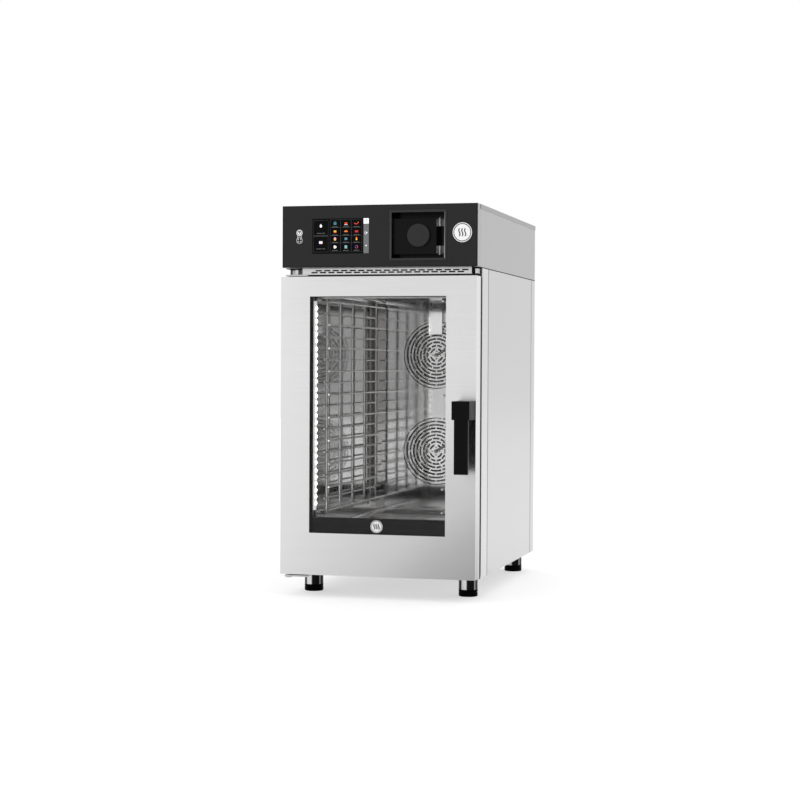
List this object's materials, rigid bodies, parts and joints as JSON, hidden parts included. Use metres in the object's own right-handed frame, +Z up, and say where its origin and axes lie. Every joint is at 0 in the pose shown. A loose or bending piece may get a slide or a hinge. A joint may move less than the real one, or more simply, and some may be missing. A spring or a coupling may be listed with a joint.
{
  "type": "combi steamer oven",
  "caption": "Compact counter-top combi steamer oven with a left-hinged glass door, lever handle, wire tray racks, fans, touch display and recessed selector knob.",
  "frame": {"origin": "centre of the oven's footprint box, on the floor under the feet", "axes": "+Z up, +X to the right seen from the front, +Y towards the back; the door faces -Y"},
  "size_m": [0.521, 0.914, 1.016],
  "materials": {
    "side_steel": "fine brushed satin",
    "door_steel": "fine horizontal brushed satin",
    "cavity_steel": "bright polished",
    "wire_chrome": "electropolished wire",
    "leg_chrome": "polished tube",
    "panel_gloss": "gloss black",
    "black_plastic": "fine matte grain",
    "knob_plastic": "soft-touch matte",
    "display_glass": "lit display behind clear film",
    "badge_white": "satin white",
    "door_glass": "clear float glass",
    "seal_rubber": "matte silicone",
    "led_white": "lit lamp lens",
    "zinc_steel": "galvanised sheet",
    "motor_alu": "cast, matte",
    "heater_metal": "oxidised sheath",
    "wool": "mineral wool",
    "pcb": "circuit board",
    "brass": "turned brass"
  },
  "bodies": {
    "root": {"base_pan": "zinc_steel", "leg_sleeves": "leg_chrome", "side_panel_left": "side_steel", "side_panel_right": "side_steel", "front_frame": "side_steel", "rear_panel": "zinc_steel", "upper_housing": "side_steel", "top_cover": "side_steel", "cover_screws": "leg_chrome", "panel_frame": "side_steel", "control_panel": "panel_gloss", "display": "display_glass", "badge": "badge_white", "niche_bezel": "panel_gloss", "niche_tray": "panel_gloss", "encoder": "pcb", "control_board": "pcb", "cooling_fan_frame": "black_plastic", "vent_strip": "side_steel", "cavity_shell": "cavity_steel", "insulation": "wool", "rack_left": "wire_chrome", "rack_right": "wire_chrome", "fan_baffle": "cavity_steel", "heater_upper": "heater_metal", "heater_lower": "heater_metal", "motor_upper": "motor_alu", "motor_lower": "motor_alu", "injector_tubes": "wire_chrome", "vent_chute": "cavity_steel", "floor_filter": "cavity_steel", "drain_pipe": "zinc_steel", "exhaust_duct": "zinc_steel", "water_inlets": "brass", "cable_gland": "black_plastic", "ground_stud": "brass", "gasket": "seal_rubber", "latch_strike": "leg_chrome", "hinge_lower": "zinc_steel", "hinge_upper": "zinc_steel"},
    "door": {"door_skin": "door_steel", "door_inner_frame": "side_steel", "door_bushes": "brass", "outer_glass": "door_glass", "inner_glass": "door_glass", "led_housing": "badge_white", "led_lenses": "led_white", "handle_rosette": "black_plastic"},
    "handle": {"handle_lever": "black_plastic", "latch_spindle": "leg_chrome"},
    "knob_plunger": {"knob_shaft": "leg_chrome"},
    "knob": {"knob": "knob_plastic"},
    "fan_upper": {"fan_wheel_upper": "cavity_steel"},
    "fan_lower": {"fan_wheel_lower": "cavity_steel"},
    "cooling_rotor": {"cooling_fan_rotor": "black_plastic"},
    "vent_flap": {"vent_flap": "zinc_steel"},
    "foot_front_left": {"foot_front_left": "black_plastic"},
    "foot_front_right": {"foot_front_right": "black_plastic"},
    "foot_rear_left": {"foot_rear_left": "black_plastic"},
    "foot_rear_right": {"foot_rear_right": "black_plastic"}
  },
  "joints": [
    {"name": "door_hinge", "type": "hinge", "parent": "root", "child": "door", "pos_m": [-0.245, -0.362, 0.444], "axis": [0, 0, -1], "range_deg": [0, 120]},
    {"name": "handle_turn", "type": "hinge", "parent": "door", "child": "handle", "pos_m": [0.235, -0.418, 0.4895], "axis": [0, 1, 0], "range_deg": [-45, 45], "stiffness_Nm_per_rad": 1.5},
    {"name": "knob_push", "type": "slide", "parent": "root", "child": "knob_plunger", "axis": [0, 1, 0], "range_m": [0, 0.0015], "stiffness_N_per_m": 2000},
    {"name": "knob_spin", "type": "hinge", "parent": "knob_plunger", "child": "knob", "pos_m": [0.1035, -0.372, 0.9345], "axis": [0, -1, 0], "continuous": true},
    {"name": "fan_upper_spin", "type": "hinge", "parent": "root", "child": "fan_upper", "pos_m": [0, 0.29, 0.632], "axis": [0, 1, 0], "continuous": true},
    {"name": "fan_lower_spin", "type": "hinge", "parent": "root", "child": "fan_lower", "pos_m": [0, 0.29, 0.352], "axis": [0, 1, 0], "continuous": true},
    {"name": "cooling_fan_spin", "type": "hinge", "parent": "root", "child": "cooling_rotor", "pos_m": [0.13, 0.4, 0.93], "axis": [0, 1, 0], "continuous": true},
    {"name": "vent_flap_turn", "type": "hinge", "parent": "root", "child": "vent_flap", "pos_m": [-0.12, 0.312, 0.935], "axis": [1, 0, 0], "range_deg": [0, 90]},
    {"name": "foot_front_left_level", "type": "slide", "parent": "root", "child": "foot_front_left", "axis": [0, 0, -1], "range_m": [0, 0.022]},
    {"name": "foot_front_right_level", "type": "slide", "parent": "root", "child": "foot_front_right", "axis": [0, 0, -1], "range_m": [0, 0.022]},
    {"name": "foot_rear_left_level", "type": "slide", "parent": "root", "child": "foot_rear_left", "axis": [0, 0, -1], "range_m": [0, 0.022]},
    {"name": "foot_rear_right_level", "type": "slide", "parent": "root", "child": "foot_rear_right", "axis": [0, 0, -1], "range_m": [0, 0.022]}
  ]
}
